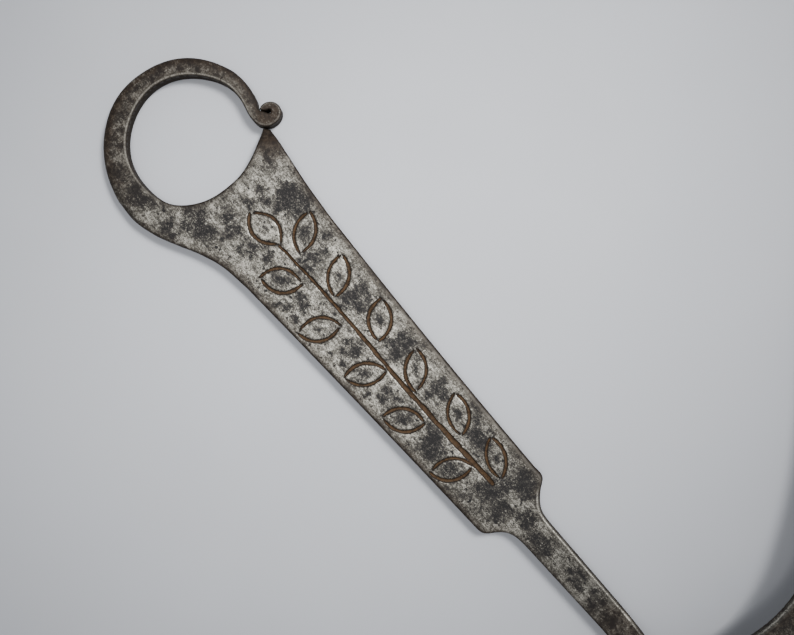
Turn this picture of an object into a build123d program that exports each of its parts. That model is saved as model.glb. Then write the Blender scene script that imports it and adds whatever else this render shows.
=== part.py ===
from build123d import *
import math
import os

# Hand sickle, millimetres. The handle lies flat on its underside (z = 0) along +X, with the
# centre of its hanging eye at the origin. The blade turns off towards +Y, raised on a crank.

# Handle: plate and eye
plate_thickness = 5.5
grip_length = 157.0          # eye centre to the shoulders
plate_width_eye = 35.6       # where the flare of the eye ends
plate_waist = 0.35           # how far each long edge bows in at its middle
shoulder_width = 26.8
flare_end = 48.0             # from the eye centre, on the -Y side
eye_radius = 20.5
eye_bar_width = 5.2          # the eye's bar over most of its turn
eye_bar_root = 9.7           # the same bar where it leaves the plate
eye_bar_tip = 4.3            # the same bar where it starts to roll
horn_tip_width = 2.7         # the pointed corner of the plate beside the roll
horn_gap = 0.6               # clear space between that corner and the roll

# Handle: rolled tip of the eye's bar
roll_radius = 3.6
roll_hole_radius = 0.8
roll_seam = 0.35
roll_standoff = 27.5         # roll centre to eye centre
roll_angle = 66.6            # degrees from +X

# Handle: shank, crank and palm
shoulder_fillet = 11.5
shank_length = 49.0          # shoulders to the start of the crank
shank_width_root = 10.8
shank_width_end = 9.6
crank_length = 15.0
palm_thickness = 3.0
palm_width = 15.0

# Chiselled vine on the plate's top
groove_width = 1.35
groove_depth = 0.5
stem_margin_eye = 24.0       # eye's edge to the start of the stem
stem_margin_shoulder = 8.5   # end of the stem to the shoulders
leaf_length = 13.2
# hand-cut leaves, from the eye on: slip along the stem, distance off it, tip direction in
# degrees, half width
POS_Y_LEAVES = [(0.0, 7.9, 124, 3.4), (-1.5, 7.2, 131, 3.7), (-1.0, 7.3, 133, 3.8),
                (-0.4, 5.4, 141, 3.6), (0.2, 6.6, 146, 3.5), (-0.1, 6.0, 153, 3.2)]
NEG_Y_LEAVES = [(0.0, 7.8, 136, 3.9), (-0.4, 9.2, 124, 3.9), (-0.3, 7.2, 122, 3.5),
                (-2.1, 7.9, 138, 3.8), (0.1, 6.9, 128, 3.5)]
END_LEAF = (0.0, 0.5, 180, 3.8)

# Blade
blade_thickness = 2.2
throat_radius = 52.4         # cutting edge beside the handle
back_radius = 150.0          # cutting edge further on
blade_reach = 134.0          # tip from the handle's axis
blade_width = 30.0           # at the widest
root_width = 20.0
edge_bevel = 1.6             # width of the bevel along the cutting edge
edge_land = 1.0              # blunt edge that the bevel leaves
blade_lift = 12.0            # underside of the blade at its root
slope_x = 0.319              # the blade's plane rises away from the handle
slope_y = 0.091

# Rivets
rivet_radius = 2.2
rivet_head_radius = 3.7
rivet_head_height = 1.7
rivet_clearance = 0.05
rivet_pitch = 10.0

# Worked out from the values above
crank_start = grip_length + shank_length
crank_end = crank_start + crank_length
root_point = (crank_end, 3.0)
throat_centre = (root_point[0] - 41.0, root_point[1] + 31.5)
eye_sweep_end = 192.0        # degrees that the bar turns from -Y before it rolls
stem_start = eye_radius + stem_margin_eye
stem_end = grip_length - stem_margin_shoulder
roll_centre = (roll_standoff * math.cos(math.radians(roll_angle)),
               roll_standoff * math.sin(math.radians(roll_angle)))


def polar(radius, degrees, centre=(0.0, 0.0)):
    """A point at a distance and a direction from a centre."""
    angle = math.radians(degrees)
    return (centre[0] + radius * math.cos(angle), centre[1] + radius * math.sin(angle))


def plate_edge(x):
    """Half the plate's width at x: a straight taper from the flare to the shoulders."""
    share = (x - flare_end) / (grip_length - flare_end)
    return plate_width_eye / 2 + share * (shoulder_width - plate_width_eye) / 2


def bar_width(sweep):
    """The eye bar's width after a sweep in degrees from -Y: quick taper, even, then fine."""
    even = eye_bar_width + (eye_bar_root - eye_bar_width) * math.exp(-sweep / 37)
    fine = max(0.0, (sweep - 160) / (eye_sweep_end - 160))
    return even + fine * (eye_bar_tip - eye_bar_width)


def eye_bar():
    """The curved bar round the eye, from the plate's -Y side clockwise to the roll."""
    steps = 12
    sweeps = [eye_sweep_end * k / steps for k in range(steps + 1)]
    outer = [polar(eye_radius + bar_width(s), -90 - s) for s in sweeps]
    inner_start = polar(eye_radius, -90)
    inner_middle = polar(eye_radius, -90 - eye_sweep_end / 2)
    inner_end = polar(eye_radius, -90 - eye_sweep_end)
    rim = Spline(outer, tangents=[(-1, 0.12), (0.965, -0.26)])
    edges = [rim,
             Line(outer[-1], inner_end),
             ThreePointArc(inner_end, inner_middle, inner_start),
             Line(inner_start, outer[0])]
    return make_face(Wire(edges))


def rolled_tip():
    """The bar's end, rolled outwards once about a small hole, with the seam left open."""
    bar_in = polar(eye_radius, -90 - eye_sweep_end)
    bar_out = polar(eye_radius + eye_bar_tip, -90 - eye_sweep_end)
    right = polar(roll_radius, -10, roll_centre)
    below = polar(roll_radius + 1.0, -55, roll_centre)
    under = polar(roll_radius + 1.9, -85, roll_centre)
    notch = polar(roll_radius, 215, roll_centre)
    inner_face = Spline([bar_in, under, below, right],
                        tangents=[polar(1.0, -eye_sweep_end - 180), polar(1.0, 80)])
    neck = make_face(Wire([inner_face,
                           Line(right, roll_centre),
                           Line(roll_centre, notch),
                           Line(notch, bar_out),
                           Line(bar_out, bar_in)]))
    disc = Pos(*roll_centre) * Circle(roll_radius)
    hole = Pos(*roll_centre) * Circle(roll_hole_radius)
    slot = Pos(*polar(roll_radius / 2 + 0.5, 215, roll_centre)) * Rot(0, 0, 35)
    slot = slot * Rectangle(roll_radius + 1.0, roll_seam)
    return neck + disc - hole - slot


def plate():
    """The flat grip: a straight taper that flares into the eye's bar and ends in a horn."""
    to_roll = polar(roll_radius + 1.0 + horn_gap, -55, roll_centre)
    horn_in = (to_roll[0] - horn_tip_width * 0.1, to_roll[1] - horn_tip_width * 0.55)
    horn_out = (to_roll[0] + horn_tip_width * 0.6, to_roll[1] + horn_tip_width * 0.1)
    horn_root = polar(eye_radius, 20)
    below_eye = (0, -eye_radius - eye_bar_root)
    flare = [below_eye,
             (eye_radius * 0.8, -eye_radius - eye_bar_root * 0.83),
             (flare_end * 0.62, -(plate_edge(flare_end) + 4.0)),
             (flare_end, -plate_edge(flare_end))]
    middle = (flare_end + grip_length) / 2
    waist = plate_edge(middle) - plate_waist
    taper = (1.0, (plate_width_eye - shoulder_width) / 2 / (grip_length - flare_end))
    shoulder_neg = (grip_length, -shoulder_width / 2)
    shoulder_pos = (grip_length, shoulder_width / 2)
    rim_pos = (flare_end, plate_edge(flare_end))
    edges = [Spline(flare, tangents=[(1, -0.12), taper]),
             ThreePointArc(flare[-1], (middle, -waist), shoulder_neg),
             Line(shoulder_neg, shoulder_pos),
             ThreePointArc(shoulder_pos, (middle, waist), rim_pos),
             Spline([rim_pos, (eye_radius * 1.22, eye_radius * 1.0), horn_out]),
             Line(horn_out, horn_in),
             Spline([horn_in, polar(eye_radius + 0.9, 37), horn_root],
                    tangents=[(0.3, -1.0), polar(1.0, -70)]),
             ThreePointArc(horn_root, polar(eye_radius, -34), polar(eye_radius, -90)),
             Line(polar(eye_radius, -90), below_eye)]
    return make_face(Wire(edges))


def shank():
    """The slim bar past the shoulders, with concave fillets into them, up to the crank."""
    overlap = 2.0
    root = shank_width_root / 2
    end = shank_width_end / 2
    reach = shoulder_width / 2 - root
    radius = max(shoulder_fillet, reach)
    run = math.sqrt(radius ** 2 - (radius - reach) ** 2)
    fillet_end = grip_length + run
    outline = make_face(Polyline((grip_length - overlap, -root), (fillet_end, -root),
                                 (crank_start, -end), (crank_start, end),
                                 (fillet_end, root), (grip_length - overlap, root),
                                 close=True))
    for side in (1, -1):
        web = Pos(grip_length + run / 2, side * shoulder_width / 4)
        scoop = Pos(fillet_end, side * (root + radius))
        outline += web * Rectangle(run, shoulder_width / 2) - scoop * Circle(radius)
    return outline


def leaf_cut(start, side, leaf):
    """Two facing gouge cuts with tapered ends, the outline of one leaf."""
    slip, off, direction, half_width = leaf
    cuts = Sketch()
    half = leaf_length / 2 - 0.4
    for flank in (1, -1):
        gap = flank * 0.45
        outer = flank * (half_width + groove_width / 2)
        inner = flank * (half_width - groove_width / 2)
        outside = ThreePointArc((-half, gap), (0, outer), (half, gap))
        inside = ThreePointArc((half, gap), (0, inner), (-half, gap))
        cuts += make_face(Wire([outside, inside]))
    return Pos(start + slip, side * off) * Rot(0, 0, side * direction) * cuts


def vine():
    """The chiselled ornament: a wavering stem with a leaf at its end and leaves each side."""
    length = stem_end - stem_start
    sketch = leaf_cut(stem_start - leaf_length / 2, -1, END_LEAF)
    for number, leaf in enumerate(POS_Y_LEAVES):
        sketch += leaf_cut(stem_start + 2.8 + number * length * 0.182, 1, leaf)
    for number, leaf in enumerate(NEG_Y_LEAVES):
        sketch += leaf_cut(stem_start + 9.2 + number * length * 0.195, -1, leaf)
    line = [(stem_start, -0.7), (stem_start + length / 3, -0.2),
            (stem_start + length * 2 / 3, -0.5), (stem_end, -0.2)]
    sides = []
    for side in (1, -1):
        points = [(x, y + side * groove_width * (0.28 + 0.13 * k)) for k, (x, y) in enumerate(line)]
        sides.append(Spline(points))
    ends = [Line(sides[0] @ 1, sides[1] @ 1), Line(sides[1] @ 0, sides[0] @ 0)]
    return sketch + make_face(Wire([sides[0], ends[0], sides[1], ends[1]]))


# The blade's plane, with its local x up the slope and its origin at the root point
steepness = math.hypot(slope_x, slope_y)
uphill = (slope_x / steepness, slope_y / steepness)
blade_plane = Plane(origin=(root_point[0], root_point[1], blade_lift),
                    x_dir=(uphill[0], uphill[1], steepness),
                    z_dir=(-slope_x, -slope_y, 1))


def on_blade(point):
    """Local coordinates in the blade's plane of the point that lies over a point in plan."""
    dx = point[0] - root_point[0]
    dy = point[1] - root_point[1]
    up = dx * uphill[0] + dy * uphill[1]
    across = dy * uphill[0] - dx * uphill[1]
    return (up * math.hypot(1.0, steepness), across)


def on_throat(degrees, off=0.0):
    """A point in plan on the throat's arc, or off it on the blade's side."""
    return polar(throat_radius + off, degrees, throat_centre)


rivet_step = math.degrees(rivet_pitch / (throat_radius + root_width / 2))
rivet_points = [on_throat(-36.0 + k * rivet_step, root_width * (0.43 + 0.06 * k)) for k in range(3)]


def palm():
    """The shank's flattened end, which lies under the blade's root and follows its curve."""
    neck = Pos(*on_blade((crank_end - 1.0, -1.0))) * Circle(shank_width_end / 2)
    middle = Pos(*on_blade(rivet_points[0])) * Circle(palm_width / 2)
    tongue = Pos(*on_blade(rivet_points[2])) * Circle(palm_width * 0.43)
    first = make_hull(neck.edges() + middle.edges())
    second = make_hull(middle.edges() + tongue.edges())
    return blade_plane * extrude(first + second, -palm_thickness)


def crank():
    """The rise from the flat shank to the palm: a side profile as wide as the shank."""
    palm_rise = blade_lift - slope_y * root_point[1]
    drop = palm_thickness * math.hypot(1.0, steepness)
    start = crank_start - 4.0
    low = [(crank_start, 0.0), (crank_end, palm_rise - drop)]
    high = [(crank_start, plate_thickness), (crank_end, palm_rise)]
    run = (1.0, slope_x)
    past = 4.0
    profile = Wire([Line((start, 0.0), low[0]),
                    Spline(low, tangents=[(1, 0), run]),
                    Line(low[1], (low[1][0] + past, low[1][1] + past * slope_x)),
                    Line((low[1][0] + past, low[1][1] + past * slope_x),
                         (high[1][0] + past, high[1][1] + past * slope_x)),
                    Line((high[1][0] + past, high[1][1] + past * slope_x), high[1]),
                    Spline([high[1], high[0]], tangents=[(-1, -slope_x), (-1, 0)]),
                    Line(high[0], (start, plate_thickness)),
                    Line((start, plate_thickness), (start, 0.0))])
    side = Plane.XZ * make_face(profile)
    return extrude(side, shank_width_end / 2, both=True)


def rivet_holes():
    """Cutters for the rivets, through the blade and the palm."""
    deep = blade_thickness + palm_thickness
    cutters = []
    for point in rivet_points:
        place = blade_plane * Pos(*on_blade(point), blade_thickness / 2 - palm_thickness / 2)
        cutters.append(place * Cylinder(rivet_radius + rivet_clearance, deep + 4.0))
    return cutters


def handle():
    """One forging: eye, plate with its vine, shank, crank and palm."""
    outline = plate() + eye_bar() + rolled_tip() + shank()
    body = extrude(outline, plate_thickness) + crank() + palm()
    over = Pos(*on_blade((crank_end + 25.0, 0.0)), 10.0) * Box(80.0, 80.0, 20.0)
    body -= blade_plane * over
    body -= Pos(0, 0, plate_thickness - groove_depth) * extrude(vine(), groove_depth + 1.0)
    for cutter in rivet_holes():
        body -= cutter
    return body


def blade_outline(inset):
    """The blade's outline, with its cutting edge moved towards the spine by an inset."""
    back_centre = polar(throat_radius - back_radius, 30.0, throat_centre)
    inner_radius = back_radius + inset
    join = on_throat(30.0, inset)
    edge_end = polar(back_radius, 52.0, back_centre)
    neck = polar(inner_radius, 52.0, back_centre)
    tip = (edge_end[0] - (blade_reach - edge_end[1]) * 1.25, blade_reach)
    tip_in = (tip[0] + 0.3 * inset, tip[1] + 0.2 * inset)
    nearly = ((neck[0] + tip_in[0]) / 2 + 0.9, (neck[1] + tip_in[1]) / 2 + 1.1)
    tip_out = (tip[0] + 0.6, tip[1] + 1.6)
    heel = on_throat(-42.0, inset)
    heel_out = on_throat(-42.0, root_width)
    inner = [ThreePointArc(on_blade(heel), on_blade(on_throat(-6.0, inset)), on_blade(join)),
             ThreePointArc(on_blade(join), on_blade(polar(inner_radius, 41.0, back_centre)),
                           on_blade(neck)),
             ThreePointArc(on_blade(neck), on_blade(nearly), on_blade(tip_in))]
    spine = Spline([on_blade(point) for point in (
        tip_out,
        ((neck[0] + tip[0]) / 2 + blade_width * 0.20, (neck[1] + tip[1]) / 2 + blade_width * 0.28),
        polar(back_radius + blade_width * 0.60, 52.0, back_centre),
        polar(back_radius + blade_width * 0.82, 42.0, back_centre),
        on_throat(26.0, blade_width * 0.97),
        on_throat(0.0, blade_width),
        on_throat(-24.0, blade_width * 0.85),
        heel_out)])
    ends = [Line(on_blade(tip_in), on_blade(tip_out)), Line(on_blade(heel_out), on_blade(heel))]
    return Wire(inner + [ends[0], spine, ends[1]])


def blade():
    """The hooked blade: a flat crescent in a rising plane, bevelled along its inner edge."""
    blank = extrude(make_face(blade_outline(0.0)), edge_land)
    low = Pos(0, 0, edge_land) * blade_outline(0.0)
    high = Pos(0, 0, blade_thickness) * blade_outline(edge_bevel)
    upper = Solid.make_loft([low, high], ruled=True)
    body = blade_plane * (blank + upper)
    for cutter in rivet_holes():
        body -= cutter
    return body


def dome(radius, height, base, sense):
    """A spherical cap's half profile, from its rim to its top on the axis."""
    sphere = (radius ** 2 + height ** 2) / (2 * height)
    half_angle = math.asin(radius / sphere) / 2
    rise = height - sphere + sphere * math.cos(half_angle)
    return ThreePointArc((radius, base),
                         (sphere * math.sin(half_angle), base + sense * rise),
                         (0, base + sense * height))


def rivet(point):
    """A hand-headed rivet: domed above the blade, peened smaller and lower below the palm."""
    top = blade_thickness
    bottom = -palm_thickness
    low_radius = rivet_head_radius * 0.9
    upper = dome(rivet_head_radius, rivet_head_height, top, 1)
    lower = dome(low_radius, rivet_head_height * 0.65, bottom, -1)
    half = Wire([upper,
                 Line(upper @ 1, lower @ 1),
                 lower,
                 Line((low_radius, bottom), (rivet_radius, bottom)),
                 Line((rivet_radius, bottom), (rivet_radius, top)),
                 Line((rivet_radius, top), (rivet_head_radius, top))])
    turned = revolve(Plane.XZ * make_face(half), Axis.Z)
    return blade_plane * Pos(*on_blade(point), 0) * turned


os.makedirs("parts", exist_ok=True)
export_step(handle(), "parts/handle.step")
export_step(blade(), "parts/blade.step")
for number, point in enumerate(rivet_points, start=1):
    export_step(rivet(point), f"parts/rivet_{number}.step")
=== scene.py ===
import math

import bmesh
import bpy
import numpy as np
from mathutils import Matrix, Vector


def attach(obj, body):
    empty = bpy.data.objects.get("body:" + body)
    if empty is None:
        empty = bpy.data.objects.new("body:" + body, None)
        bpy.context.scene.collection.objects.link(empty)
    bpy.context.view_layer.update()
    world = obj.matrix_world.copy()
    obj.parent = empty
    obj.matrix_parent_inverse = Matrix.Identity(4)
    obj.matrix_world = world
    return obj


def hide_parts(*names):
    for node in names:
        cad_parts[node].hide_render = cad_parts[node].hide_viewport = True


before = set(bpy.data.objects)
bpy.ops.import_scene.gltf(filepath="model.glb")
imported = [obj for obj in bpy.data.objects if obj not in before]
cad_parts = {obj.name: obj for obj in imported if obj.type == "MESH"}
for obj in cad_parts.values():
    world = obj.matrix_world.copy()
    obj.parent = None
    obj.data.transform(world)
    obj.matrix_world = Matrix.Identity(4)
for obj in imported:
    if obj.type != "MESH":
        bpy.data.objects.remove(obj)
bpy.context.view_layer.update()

bl_info = {
    "name": "Forged Hand Sickle",
    "version": (1, 0, 0),
    "blender": (4, 5, 0),
    "location": "3D View > Sidebar > Sickle",
    "description": "A forged iron hand sickle with an eye, a chiselled vine and a riveted blade",
    "category": "Add Mesh",
}

MM = 0.001

# The handle's plan, in millimetres from the centre of the hanging eye
EYE_RADIUS = 20.5
EYE_BAR_WIDTH = 5.2
EYE_BAR_ROOT = 9.7
EYE_SWEEP = 192.0
EYE_DENTS = [(-58, 1.0, 20), (-3, -0.8, 20), (100, 0.7, 20), (-152, -0.9, 34)]
HEAD_END = 30.0
FLARE_END = 48.0
PLATE_HALF_EYE = 17.7
PLATE_HALF_SHOULDER = 13.5
PLATE_WAIST = 0.4
SHOULDER = 157.0
SHANK_HALF_END = 4.8
CRANK_START = 206.0
CRANK_END = 221.0
FLARE_POINTS = [(0.0, 30.2), (8.0, 30.5), (16.0, 28.5), (23.0, 25.3), (30.0, 21.8), (38.0, 19.0),
                (48.0, 17.7)]
HORN_POINTS = [(14.0, 21.8), (16.0, 21.6), (19.0, 21.4), (25.0, 20.5), (36.0, 18.9), (48.0, 17.7)]
HORN_INNER = (13.0, 19.8)
HORN_OUTER = (14.6, 21.75)

# The shoulders, where the plate narrows to the shank: a softened corner, then the hollow of the fillet
SHOULDER_START = 153.0
SHOULDER_POINTS = {1: [(155.0, 13.7), (156.6, 13.2), (157.8, 11.9), (159.0, 10.2),
                       (160.6, 8.5), (162.6, 6.95), (165.0, 5.85), (168.5, 5.35)],
                   -1: [(155.4, 13.5), (157.2, 13.0), (158.5, 11.8), (159.6, 10.1),
                        (161.0, 8.3), (163.0, 6.75), (165.5, 5.9), (169.0, 5.5)]}
SHANK_START = 168.0

# Both faces of the rolled tip, from the eye's bar to its end: the outside, then the inside
ROLL_OUTSIDE = [(7.0, 19.6), (9.4, 19.5), (11.5, 19.85), (13.2, 21.1), (14.3, 22.9), (14.6, 25.0),
                (14.1, 27.0), (12.6, 28.5), (10.6, 28.9), (8.7, 28.1), (7.5, 26.4), (7.3, 24.7), (7.8, 23.5)]
ROLL_INSIDE = [(6.6, 23.75), (7.9, 23.2), (8.9, 23.75), (9.8, 24.3), (10.4, 24.6), (10.8, 25.0),
               (10.85, 25.5), (10.5, 25.85), (10.1, 25.85), (9.75, 25.5), (9.6, 25.05),
               (9.35, 24.6), (8.75, 23.95)]

# The chiselled vine: place along the handle, distance off its axis, tip direction, half width
LEAVES = [(37.7, -0.6, 180, 4.9),
          (47.2, 8.0, 128, 4.1), (64.5, 7.2, 129, 4.1), (84.1, 7.5, 132, 4.4),
          (103.7, 5.5, 141, 4.1), (123.2, 6.5, 146, 4.1), (142.1, 6.0, 152, 3.7),
          (53.6, -7.9, -137, 4.6), (73.4, -9.1, -124, 4.5), (94.1, -7.3, -121, 4.2),
          (113.0, -8.2, -138, 4.4), (135.2, -7.0, -126, 4.2)]
LEAF_LENGTH = 13.9
STEM = [(44.0, -0.9), (60.0, -0.2), (75.0, -0.1), (90.0, -0.4), (108.0, -0.7), (122.0, -0.6),
        (136.0, -0.3), (148.5, 0.0)]
STEM_HALF = [(44.0, 0.4), (60.0, 0.5), (90.0, 0.7), (110.0, 0.8), (126.0, 0.95), (142.0, 0.95), (148.5, 0.7)]

# Where the iron has darkened in patches: place along the handle, off its axis, spread
DARK_PATCHES = [
    (18, -15.5, 1.7), (22, -14.5, 2.0), (24.5, -17.8, 2.2), (26.5, -14, 1.5), (20, -19, 1.4),
    (20.5, -12, 1.2), (27, -7.2, 1.8), (32, -8.5, 1.6), (36, -7.5, 1.2), (40, -8.2, 1.7),
    (38.5, -11.2, 1.4), (45.5, -7.3, 1.2), (45.5, -4.6, 1.0), (31.6, -11.5, 0.8), (31.6, -13.6, 0.7),
    (37.5, -15.5, 0.7), (23.6, 15.2, 1.3), (20.5, 16, 1.4), (34.5, 14, 2.6), (38.5, 14.5, 2.4),
    (36.5, 9, 2.8), (35, 12, 2.6), (40.5, 10.5, 1.6), (31, 5, 1.6), (27, 6.5, 1.6), (28, 1, 1.2),
    (-6, -24, 2.0), (-9, -24.5, 1.3), (1, -23.5, 1.7), (5, -24, 2.4), (3, -26, 1.7), (8, -22.4, 1.0),
    (10.5, -20.6, 0.9), (16.5, -23.5, 1.4), (20, -23.7, 1.0), (15, -21, 1.0), (-13, -18, 0.9),
    (-15.5, -17, 0.8), (-17, -14.2, 1.0), (-20, -10, 0.8), (-21.5, -5, 0.7), (-23.3, -1.5, 0.8),
    (-22.5, 3, 1.2), (-22, 8, 1.1), (-18.5, 13, 0.8), (-15, 17, 0.9), (53, 12.4, 1.7), (55.5, 9, 1.4),
    (54.5, 4, 1.3), (52, 1.5, 1.0), (56.5, 1, 0.8), (62.5, -7, 2.0), (62, -11.2, 1.6),
    (64.7, -8.5, 1.3), (66, -12.2, 1.0), (58.5, -12.6, 0.8), (73, 10.7, 1.3), (76, 9.6, 1.1),
    (72.2, 8, 1.0), (75, 5.5, 1.9), (77.5, 4.5, 1.2), (71.8, 5, 1.1), (72.5, 1.4, 1.0),
    (86.4, -5.6, 1.6), (84, -8.2, 1.3), (87, -11.1, 0.9), (82, -5, 1.2), (81.6, -11.6, 0.7),
    (92.6, 9.6, 2.0), (95.8, 9.4, 2.0), (92.8, 5.6, 1.9), (96, 5.2, 2.2), (103, -5, 1.6),
    (107, -5, 1.4), (101.6, -9, 0.8), (104, -8.4, 1.2), (98.5, -11.2, 0.7), (112.6, 6, 1.9),
    (112, 3, 1.1), (114.8, 8.6, 1.3), (116.3, 6.8, 1.2), (111.5, 9.3, 1.2), (123.6, -5.6, 2.6),
    (126.8, -6.2, 2.7), (125, -8.4, 2.2), (119.6, -3, 1.0), (131.8, 7.6, 2.2), (134.6, 6.4, 2.1),
    (134.8, 11, 0.9), (128.6, 9.6, 1.2), (150.5, 2.8, 2.1), (147, -3.2, 2.2), (149.8, -2, 1.5),
    (144.8, -4.6, 1.2), (152, 8.6, 2.2), (156, 8.8, 1.5), (153.5, 5.6, 1.6), (158, 6, 1.7),
    (163.4, 2.1, 1.9), (164.6, -0.2, 1.6), (160, -1, 1.6), (155, -3, 2.0), (157, -6, 1.3),
    (151.5, 0.5, 1.5), (169, -0.8, 2.0), (171.8, -1.4, 2.2), (174.6, -1.4, 2.0), (186.6, 2.2, 1.4),
    (189, 2.2, 1.2), (184.4, 0.4, 0.8), (187.6, -2.2, 1.2), (190.6, -1.8, 1.1), (195, 1.8, 1.2),
    (199, 1.2, 1.2), (197, -2, 1.3), (203, -1.8, 1.8), (206.5, -0.6, 1.8)]
LEAF_SPOTS = [0.7, 1.5, 0.9, 1.4, 1.1, 1.3, 0.9, 1.4, 0.4, 1.7, 1.5, 1.9]

# The blade's plane and plan
PLANE_POINT = (221.0, 3.0, 12.0)
SLOPE_X = 0.319
SLOPE_Y = 0.091
THROAT_RADIUS = 52.4
THROAT_CENTRE = (180.0, 34.5)
BACK_RADIUS = 150.0
BACK_CENTRE = (THROAT_CENTRE[0] + (THROAT_RADIUS - BACK_RADIUS) * math.cos(math.radians(30.0)),
               THROAT_CENTRE[1] + (THROAT_RADIUS - BACK_RADIUS) * math.sin(math.radians(30.0)))
BLADE_REACH = 134.0
BLADE_WIDTH = 30.0
ROOT_WIDTH = 20.0
RIVET_PITCH = 10.0
FIRST_RIVET = -36.0
# How far the palm runs on past the last rivet, in millimetres
PALM_END = 6.4
# Stations along the blade, as directions from the centre of the arc that each part follows
ROOT_STATION = -42.0
THROAT_END = 30.0
NECK = 52.0
TIP_STATION = 74.0

# The stage, in metres and degrees
TABLE_REACH = 2.5
LIGHT_AIM = (0.064, 0.037, 0.0)
MAIN_LIGHT = (0.085, 0.385, 0.590)
SECOND_LIGHT = (0.050, -0.080, 0.620)
CAMERA_PLACE = (0.0871, 0.0122)
CAMERA_TURN = 48.5

# How finely the handle is drawn: vertices across the plate, across the head, and top rows
# to each row of the underside
ACROSS_PLATE = 105
ACROSS_HEAD = 25
COARSE = 4
# How far in from the top's outline the underside's lower arris starts, in millimetres
LOWER_ARRIS = 0.5
# A palm's thickness measured upright, over its thickness square to the blade's plane
UPRIGHT = 1.053
# An underside grid's outer lines, each with the line beside it
SIDES = ((np.s_[:, 0], np.s_[:, 1]), (np.s_[:, -1], np.s_[:, -2]))
ENDS = ((0, 1), (-1, -2))


def polar(radius, degrees, centre=(0.0, 0.0)):
    """Points at a distance and a direction from a centre, for arrays too."""
    angle = np.radians(degrees)
    return np.stack([centre[0] + radius * np.cos(angle), centre[1] + radius * np.sin(angle)], -1)


def smooth(low, high, value):
    """Zero below low, one above high, an even S between."""
    share = np.clip((value - low) / (high - low), 0.0, 1.0)
    return share * share * (3.0 - 2.0 * share)


def curve_through(points, count, ends=(0.0, 1.0)):
    """Points on a Catmull-Rom curve: each span is a cubic whose slopes join its neighbours."""
    knots = np.asarray(points, float)
    padded = np.concatenate([2 * knots[:1] - knots[1:2], knots, 2 * knots[-1:] - knots[-2:-1]])
    place = np.linspace(ends[0], ends[1], count) if np.isscalar(count) else np.asarray(count)
    place = place * (len(knots) - 1)
    span = np.clip(place.astype(int), 0, len(knots) - 2)
    step = (place - span)[:, None]
    a, b, c, d = (padded[span + k] for k in range(4))
    return 0.5 * (2 * b + (c - a) * step + (2 * a - 5 * b + 4 * c - d) * step ** 2
                  + (3 * b - a - 3 * c + d) * step ** 3)


def height_at(x, points):
    """A smooth curve's second coordinate as a function of its first."""
    line = curve_through(points, 400)
    return np.interp(x, line[:, 0], line[:, 1])


def lattice(ix, iy, seed):
    """A fixed random number in -1..1 for each whole-number place: a sine's far digits."""
    value = np.sin(ix * 127.1 + iy * 311.7 + seed * 74.7) * 43758.5453
    return 2.0 * (value - np.floor(value)) - 1.0


def ripple(x, y, size, seed):
    """Smooth value noise: lattice numbers a size apart, blended by an S curve each way."""
    u, v = x / size, y / size
    iu, iv = np.floor(u), np.floor(v)
    fu, fv = u - iu, v - iv
    fu, fv = fu * fu * (3 - 2 * fu), fv * fv * (3 - 2 * fv)
    low = lattice(iu, iv, seed) * (1 - fu) + lattice(iu + 1, iv, seed) * fu
    high = lattice(iu, iv + 1, seed) * (1 - fu) + lattice(iu + 1, iv + 1, seed) * fu
    return low * (1 - fv) + high * fv


def spread(width, count):
    """Distances across a bar: a few close to each edge, for its rounding, and even between."""
    near = np.array([0.0, 0.09, 0.3, 0.62, 1.0])
    width = np.asarray(width, float)[:, None]
    near = near[None, :] * np.minimum(1.0, width / 4.0)
    inner = count - 2 * near.shape[1]
    share = np.arange(1, inner + 1)[None, :] / (inner + 1)
    middle = near[:, -1:] + share * (width - 2 * near[:, -1:])
    return np.concatenate([near, middle, width - near[:, ::-1]], axis=1)


def quads(ids):
    """Faces between the neighbours of a grid of vertex numbers."""
    return np.stack([ids[:-1, :-1], ids[1:, :-1], ids[1:, 1:], ids[:-1, 1:]], -1).reshape(-1, 4)


def closed(grid):
    """A grid with its first column again at its end, for a skin that meets itself."""
    return np.concatenate([grid, grid[:, :1]], axis=1)


def rounding(inset, radius):
    """How far a rounded arris drops below the flat, at a distance in from the edge."""
    far = np.clip(radius - inset, 0.0, radius)
    return radius - np.sqrt(radius ** 2 - far ** 2)


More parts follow.
